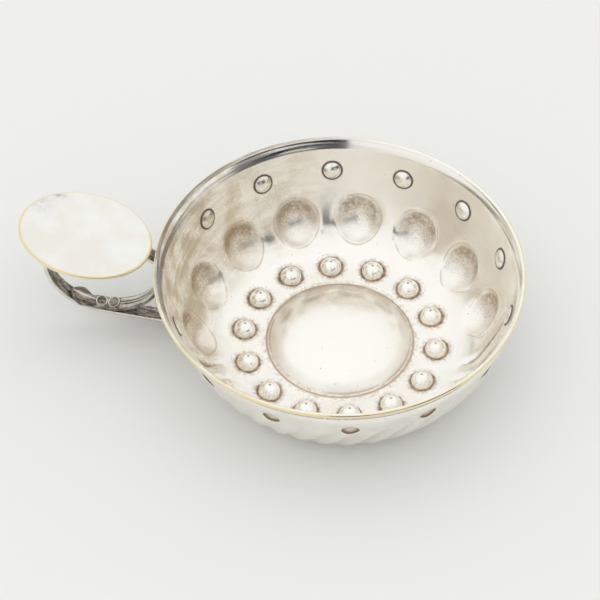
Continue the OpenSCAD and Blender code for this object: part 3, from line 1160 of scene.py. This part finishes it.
@dataclass
class Handle:
    """The ring strap, the scroll leaf inside it and the thumb plate on top."""

    ring_c: Vector = field(default_factory=lambda: Vector((-55.3 * MM, 0, 18.8 * MM)))
    ring_r: float = 13.6 * MM
    strap_t: float = 1.0 * MM
    strap_w: float = 3.8 * MM
    strap_corner: float = 0.28 * MM
    strap_soft: float = 0.5 * MM
    strap_steps: int = 150
    strap_rub: float = 0.4 * MM
    outer_shade: float = 0.25
    shaded_x: float = -53 * MM
    flat_z: float = 27.6 * MM
    arm_slope: float = 34
    arm_end: Vector = field(default_factory=lambda: Vector((-41.0 * MM, 0, 22.2 * MM)))
    tail_turn: float = 275.7
    tail_end: Vector = field(default_factory=lambda: Vector((-30.9 * MM, 0, 2.2 * MM)))
    leaf_t: float = 0.8 * MM
    leaf_w: float = 5.0 * MM
    leaf_gap: float = 0.2 * MM
    leaf_start: float = 160
    leaf_end: float = 314
    leaf_steps: int = 220
    leaf_lanes: int = 28
    leaf_l: float = 6.4 * MM
    leaf_tip: float = 0.02 * MM
    leaf_neck: float = 0.86
    leaf_crown: float = 0.35 * MM
    leaf_drop: float = 0.25 * MM
    vein_h: float = 0.12 * MM
    vein_step: float = 14
    vein_lean: float = 5
    oval_l: float = 3.0 * MM
    oval_n: int = 2
    oval_h: float = 0.4 * MM
    oval_core: float = 0.3 * MM
    oval_waist: float = 0.9
    oval_rim: float = 0.85
    oval_rim_w: float = 0.12
    line_depth: float = 0.28 * MM
    line_at: float = 0.22
    line_w: float = 0.1
    darkest_l: float = 12.4 * MM
    darkest_depth: float = 0.1 * MM
    leaf_shade: float = 0.4
    leaf_rub: float = 0.42 * MM
    back_rub: float = 0.6
    plate_l: float = 31.2 * MM
    plate_w: float = 25.8 * MM
    plate_t: float = 1.2 * MM
    plate_tilt: float = 10
    plate_shift: float = 4.4 * MM
    plate_dip: float = 0.15 * MM
    plate_soft: float = 0.15 * MM
    plate_steps: int = 160
    plate_row: float = 0.5 * MM
    plate_edge_row: float = 0.12 * MM
    plate_edge_zone: float = 1.6 * MM
    plate_edge_shift: float = 0.1 * MM
    # A dark smudge near the back of the plate's outer end, and a broad faint painted shade over that end
    dark_spots: tuple[DarkSpot, ...] = (
        DarkSpot((-8.4 * MM, 10.0 * MM), (1.5 * MM, 0.8 * MM), 0.8),
        DarkSpot((-12.5 * MM, 6.5 * MM), (3 * MM, 3 * MM), 0.3),
    )

    def out(self, turn: float) -> Vector:
        """Direction out from the ring's centre, at an angle from straight out."""
        return Vector((-math.cos(math.radians(turn)), 0, math.sin(math.radians(turn))))

    def strap(self) -> bpy.types.Object:
        """Draws the strap's rounded section out along its line, a step at a time.

        Returns:
            The strap's piece.
        """
        line = self.strap_line()
        bm = bmesh.new()
        tarnish_and_shade = bm.verts.layers.float.new("tarnish_and_shade")
        proud = bm.verts.layers.float.new("proud")
        rounded_loop(bm, self.strap_t, self.strap_w, self.strap_corner)
        # The face towards the ring's middle is fully dark and the outer face a little: tarnish with
        # painted shade
        for vert in bm.verts:
            vert[tarnish_and_shade] = 1.0 if vert.co.x > 0 else self.outer_shade
            vert[proud] = max(0.0, (abs(vert.co.y) - self.strap_w / 2) / self.strap_rub + 1)
        walks = np.linspace(0, line.length, self.strap_steps)
        places = [Vector((-out, 0, high)) for out, high in line.at(walks)]
        turns = [math.atan2(high, -out) for out, high in line.normal(walks)]
        verts, edges = bm.verts[:], bm.edges[:]
        here, heading = Vector(), 0.0
        for place, turn in zip(places, turns):
            bmesh.ops.rotate(bm, verts=verts, cent=here, matrix=Matrix.Rotation(heading - turn, 3, "Y"))
            bmesh.ops.translate(bm, verts=verts, vec=place - here)
            here, heading = place, turn
            if place is not places[-1]:
                grown = bmesh.ops.extrude_edge_only(bm, edges=edges)["geom"]
                verts = [item for item in grown if isinstance(item, bmesh.types.BMVert)]
                fresh = set(verts)
                edges = [
                    item for item in grown
                    if isinstance(item, bmesh.types.BMEdge) and fresh.issuperset(item.verts)
                ]
        # Everything nearer the cup than shaded_x is fully dark: painted shade between the ring and the
        # cup, with tarnish
        for vert in bm.verts:
            vert[tarnish_and_shade] = 1.0 if vert.co.x > self.shaded_x else vert[tarnish_and_shade]
        bmesh.ops.holes_fill(bm, edges=bm.edges[:], sides=0)
        return finished(bm, "strap", "ring_strap", StrapSilver("strap_silver").material())

    def strap_line(self) -> Outline:
        """The strap's middle line, in distance out from the bowl and height, from the tail to the arm."""
        half = self.strap_t / 2
        middle = self.ring_r + half
        centre = np.array([-self.ring_c.x, self.ring_c.z])
        along = polar(1, self.plate_tilt)
        up = polar(1, self.plate_tilt + 90)
        flat = np.array([centre[0], self.flat_z]) - half * up
        rise = flat - centre
        reach = -rise @ along + math.sqrt((rise @ along) ** 2 - rise @ rise + middle ** 2)
        corner = flat + reach * along
        top = math.degrees(math.atan2(*(corner - centre)[::-1]))
        ring = arc(centre, middle, self.tail_turn - 360, top)
        arm = np.array([-self.arm_end.x, self.arm_end.z])
        slope = polar(1, self.arm_slope)
        away = arm - flat
        run = (away[1] * along[0] - away[0] * along[1]) / (slope[0] * along[1] - slope[1] * along[0])
        bend = arm + run * slope
        tail = np.array([-self.tail_end.x, self.tail_end.z])
        runs = [tail[None, :], ring, corner[None, :], bend[None, :], arm[None, :]]
        return Outline(runs, self.strap_soft)

    def leaf(self) -> bpy.types.Object:
        """Chases the scroll leaf flat, then bends it round the inside of the ring.

        Returns:
            The leaf's piece.
        """
        outer = self.ring_r - self.leaf_gap
        inner = outer - self.leaf_t
        length = math.radians(self.leaf_end - self.leaf_start) * inner
        bm = bmesh.new()
        bmesh.ops.create_grid(bm, x_segments=self.leaf_steps, y_segments=self.leaf_lanes, size=0.5)
        bmesh.ops.translate(bm, verts=bm.verts, vec=(0.5, 0, 0))
        tarnish_and_shade = bm.verts.layers.float.new("tarnish_and_shade")
        proud = bm.verts.layers.float.new("proud")
        for vert in bm.verts:
            run, share = vert.co.x * length, 2 * vert.co.y
            width, high = self.chased(length - run, share)
            vert.co = (run, share * width / 2, high)
            # The chased tip and the sunk lines are fully dark, the rest dimmed by leaf_shade: tarnish in
            # the chasing, with painted shade over the leaf inside the ring
            darkest = length - run < self.darkest_l or high < -self.darkest_depth
            vert[tarnish_and_shade] = 1.0 if darkest else self.leaf_shade
            vert[proud] = min(1.0, max(0.0, high / self.leaf_rub))
        floor = bmesh.ops.extrude_face_region(bm, geom=bm.faces[:])["geom"]
        below = [item for item in floor if isinstance(item, bmesh.types.BMVert)]
        for vert in below:
            vert.co.z = -self.leaf_t
            vert[proud] = self.back_rub
        for vert in bm.verts:
            turn = self.leaf_start + math.degrees(vert.co.x / inner)
            place = self.ring_c + self.out(turn) * (inner - vert.co.z)
            vert.co = (place.x, vert.co.y, place.z)
        bmesh.ops.remove_doubles(bm, verts=bm.verts, dist=WELD)
        silver = StrapSilver("leaf_silver").material()
        return finished(bm, "leaf_scroll", "scroll_leaf", silver)

    def chased(self, back: float, share: float) -> tuple[float, float]:
        """Width and height of the chased strip.

        Args:
            back: distance back from the leaf's tip.
            share: place across the strip, from -1 to 1.

        Returns:
            The strip's width there, and its surface's height there.
        """
        side = abs(share)
        rounded = -self.leaf_drop * side ** 4
        if back < self.leaf_l:
            part = back / self.leaf_l
            width = self.leaf_w * math.sin(math.pi * min(part, self.leaf_neck)) ** 0.8 + self.leaf_tip
            vein = 0.5 + 0.5 * math.cos(self.vein_step * part + self.vein_lean * side)
            return width, rounded + self.leaf_crown * (1 - side) ** 2 + self.vein_h * vein * side
        along = (back - self.leaf_l) / self.oval_l
        if along < self.oval_n:
            across = 2 * (along % 1) - 1
            far = math.hypot(across, side * 1.05)
            full = math.sqrt(max(0.0, 1 - across ** 2))
            width = self.strap_w * (self.oval_waist + (1 - self.oval_waist) * full)
            rim = math.exp(-((far - self.oval_rim) / self.oval_rim_w) ** 2)
            return width, rounded + self.oval_h * rim + self.oval_core * max(0.0, 0.6 - far)
        groove = math.exp(-((side - self.line_at) / self.line_w) ** 2)
        return self.strap_w, rounded - self.line_depth * groove

    def thumb(self) -> bpy.types.Object:
        """Spins the thumb plate's section, draws it out to an oval and tilts it.

        Returns:
            The plate's piece.
        """
        half = self.plate_w / 2
        edge_r = self.plate_t / 2
        top = np.array([[0, edge_r - self.plate_dip], [half - edge_r, edge_r]])
        side = arc((half - edge_r, 0), edge_r, 90, -90)
        under = np.array([[0, -edge_r]])
        line = Outline([top, side, under], self.plate_soft)
        rows = stepped(line.length, self.plate_row, self.plate_edge_row, half, self.plate_edge_zone)
        bm = bmesh.new()
        edge = bm.verts.layers.float.new("edge")
        smudge_and_shade = bm.verts.layers.float.new("smudge_and_shade")
        verts = [bm.verts.new((r, 0, z)) for r, z in line.at(np.array(rows))]
        for vert, row in zip(verts, rows):
            vert[edge] = abs(row - half + self.plate_edge_shift) / MM
        spin_line(bm, verts, self.plate_steps)
        stretch = self.plate_l / self.plate_w
        bmesh.ops.scale(bm, verts=bm.verts, vec=(stretch, 1, 1))
        for vert in bm.verts:
            vert[smudge_and_shade] = sum(spot.at(vert.co.x, vert.co.y) for spot in self.dark_spots)
        tilt = math.radians(self.plate_tilt)
        bmesh.ops.rotate(bm, verts=bm.verts, cent=(0, 0, 0), matrix=Matrix.Rotation(tilt, 3, "Y"))
        up = Vector((math.sin(tilt), 0, math.cos(tilt)))
        out = self.out(self.plate_tilt)
        seat = Vector((self.ring_c.x, 0, self.flat_z))
        seat += (self.plate_t / 2 + self.leaf_gap) * up + self.plate_shift * out
        bmesh.ops.translate(bm, verts=bm.verts, vec=seat)
        return finished(bm, "thumb_oval", "thumb_plate", ThumbSilver().material())


def rounded_loop(bm: bmesh.types.BMesh, thick: float, wide: float, corner: float) -> None:
    """A strip's section with rounded corners, as one closed loop.

    Args:
        bm: the mesh that it is added to.
        thick: size along X.
        wide: size along Y.
        corner: radius of the corners.
    """
    half_t, half_w = thick / 2, wide / 2
    corners = [(half_t, half_w), (-half_t, half_w), (-half_t, -half_w), (half_t, -half_w)]
    verts = [bm.verts.new((x, y, 0)) for x, y in corners]
    for pair in zip(verts, verts[1:] + verts[:1]):
        bm.edges.new(pair)
    bmesh.ops.bevel(bm, geom=verts, offset=corner, offset_type="OFFSET", affect="VERTICES",
                    segments=4, profile=0.5, material=-1)


def direction(turn: float, rise: float) -> Vector:
    """Direction at an angle in degrees round from the front, seen from above, and at an elevation."""
    a, e = math.radians(turn), math.radians(rise)
    return Vector((math.sin(a) * math.cos(e), -math.cos(a) * math.cos(e), math.sin(e)))


@dataclass
class Studio:
    """Floor, light and camera."""

    azimuth: float = 8
    elevation: float = 49.403
    roll: float = -0.119
    distance: float = 583.9 * MM
    slide: tuple[float, float] = (-9.435 * MM, -6.843 * MM)
    lens: float = 152.7
    sensor: float = 36
    aim: Vector = field(default_factory=lambda: Vector((0, 0, 26.3 * MM)))
    floor_side: float = 8
    floor_colour: Colour = (0.811, 0.815, 0.801, 1)
    flag_far: float = 0.6
    flag_colour: Colour = (0.02, 0.025, 0.035, 1)
    glow: float = 0.105
    lamp_turn: float = -10
    lamp_rise: float = 75
    lamp_far: float = 1.3
    lamp_gap: float = 0.05
    lamp_sizes: tuple[float, ...] = (1.0, 1.6, 2.2, 2.8)
    sky_slope: tuple[float, float, float] = (-0.1, 0.083, 0.71)
    sky_lift: float = 0.14
    sky_levels: tuple[tuple[float, float], ...] = (
        (0.01, 0.43), (0.14, 0.66), (0.28, 0.8), (0.5, 0.85), (0.61, 0.87), (0.7, 0.88), (0.85, 0.91),
    )
    sky_blue: float = 0.99
    sky_strength: float = 1.1

    def axes(self) -> tuple[Vector, Vector, Vector]:
        """The camera's right, up and backward directions."""
        a = math.radians(self.azimuth)
        right = Vector((math.cos(a), math.sin(a), 0))
        back = direction(self.azimuth, self.elevation)
        up = back.cross(right)
        turn = math.radians(self.roll)
        tilted = math.cos(turn) * right + math.sin(turn) * up
        return tilted, math.cos(turn) * up - math.sin(turn) * right, back

    def camera(self) -> None:
        """Sets the camera up at the photograph's viewing angle."""
        right, up, back = self.axes()
        data = bpy.data.cameras.new("camera")
        data.lens = self.lens
        data.sensor_width = self.sensor
        data.clip_start, data.clip_end = 0.01, 100
        camera = bpy.data.objects.new("camera", data)
        place = self.aim + self.slide[0] * right + self.slide[1] * up + self.distance * back
        turned = Matrix((right, up, back)).transposed().to_4x4()
        camera.matrix_world = Matrix.Translation(place) @ turned
        bpy.context.scene.collection.objects.link(camera)
        bpy.context.scene.camera = camera

    def sheet(self, name: str, size: tuple[float, float], place: Matrix,
              colour: Colour) -> bpy.types.Object:
        """A flat stage sheet of one colour.

        Args:
            name: its name.
            size: its width and height.
            place: where it stands.
            colour: its colour.

        Returns:
            The stage object.
        """
        bm = bmesh.new()
        bmesh.ops.create_grid(bm, x_segments=1, y_segments=1, size=0.5)
        bmesh.ops.scale(bm, verts=bm.verts, vec=(size[0], size[1], 1))
        mesh = bpy.data.meshes.new(name)
        bm.to_mesh(mesh)
        bm.free()
        g = Graph(name)
        mesh.materials.append(g.finish(Base_Color=colour, Roughness=0.9, Specular_IOR_Level=0.1))
        made = bpy.data.objects.new(name, mesh)
        made.matrix_world = place
        bpy.context.scene.collection.objects.link(made)
        return made

    def facing(self, turn: float, rise: float, far: float) -> Matrix:
        """A place that faces the cup.

        Args:
            turn: angle to the right of the camera, seen from above.
            rise: elevation.
            far: distance.

        Returns:
            The place, with its front towards the cup.
        """
        back = direction(self.azimuth + turn, rise)
        turned = back.to_track_quat("Z", "Y").to_matrix().to_4x4()
        return Matrix.Translation(self.aim + back * far) @ turned

    def flags(self) -> None:
        """Dark flags that only the silver reflects: four round a gap, and one behind the camera."""
        for name, turn, rise, size in (
            ("flag_near", 4.5, 17, (0.2, 0.32)),
            ("flag_far", 49, 17, (0.28, 0.32)),
            ("flag_high", 25, 26.5, (0.25, 0.115)),
            ("flag_low", 25, 7, (0.25, 0.105)),
            ("flag_camera", 0, 49, (0.1, 0.07)),
        ):
            flag = self.sheet(name, size, self.facing(turn, rise, self.flag_far), self.flag_colour)
            flag.visible_camera = False
            flag.visible_shadow = False
            flag.visible_diffuse = False

    def lamp(self, name: str, far: float, size: float) -> None:
        """A soft round lamp above the cup, as bright per area as the rest, which the silver doesn't show.

        Args:
            name: its name.
            far: distance.
            size: diameter.
        """
        data = bpy.data.lights.new(name, "AREA")
        data.shape = "DISK"
        data.size = size
        data.energy = self.glow * (math.pi * size / 2) ** 2
        made = bpy.data.objects.new(name, data)
        made.matrix_world = self.facing(self.lamp_turn, self.lamp_rise, far)
        made.visible_glossy = False
        bpy.context.scene.collection.objects.link(made)

    def world(self) -> None:
        """A soft pale sky that is darker towards the horizon, most of all in front on the right."""
        world = bpy.data.worlds.new("studio")
        bpy.context.scene.world = world
        world.use_nodes = True
        tree = world.node_tree
        background = tree.nodes["Background"]
        coordinates = tree.nodes.new("ShaderNodeTexCoord")
        height = tree.nodes.new("ShaderNodeVectorMath")
        height.operation = "DOT_PRODUCT"
        height.inputs[1].default_value = self.sky_slope
        lift = tree.nodes.new("ShaderNodeMath")
        lift.inputs[1].default_value = self.sky_lift
        ramp = tree.nodes.new("ShaderNodeValToRGB")
        tree.links.new(coordinates.outputs["Generated"], height.inputs[0])
        tree.links.new(height.outputs["Value"], lift.inputs[0])
        tree.links.new(lift.outputs[0], ramp.inputs[0])
        tree.links.new(ramp.outputs[0], background.inputs["Color"])
        stops = [(place, (level, level, self.sky_blue * level, 1)) for place, level in self.sky_levels]
        Graph.set_stops(ramp.color_ramp, stops)
        background.inputs["Strength"].default_value = self.sky_strength

    def build(self) -> None:
        """Lays the floor and sets the light and the camera."""
        self.camera()
        self.sheet("floor", (self.floor_side, self.floor_side), Matrix.Identity(4), self.floor_colour)
        self.flags()
        for step, size in enumerate(self.lamp_sizes):
            self.lamp(f"softbox_{step}", self.lamp_far + self.lamp_gap * step, size)
        self.world()
        bpy.context.scene.view_settings.view_transform = "Standard"


def dress_solder(nodes: dict[str, bpy.types.Object]) -> None:
    """Gives the solder seams, which keep their own solids, their finish."""
    material = Solder().material()
    for name, node in nodes.items():
        if name.endswith("_solder"):
            node.data.materials.clear()
            node.data.materials.append(material)
            log.info("seam %s", name)


def main() -> None:
    """Builds the pieces in order."""
    logging.basicConfig(level=logging.INFO, format="%(name)s: %(message)s")
    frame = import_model()
    handle = Handle()
    for piece in (Bowl().build(), handle.strap(), handle.leaf(), handle.thumb()):
        log.info("piece %s: %d faces", piece.name, len(piece.data.polygons))
    dress_solder(frame["nodes"])
    Studio().build()


if __name__ == "__main__":
    main()
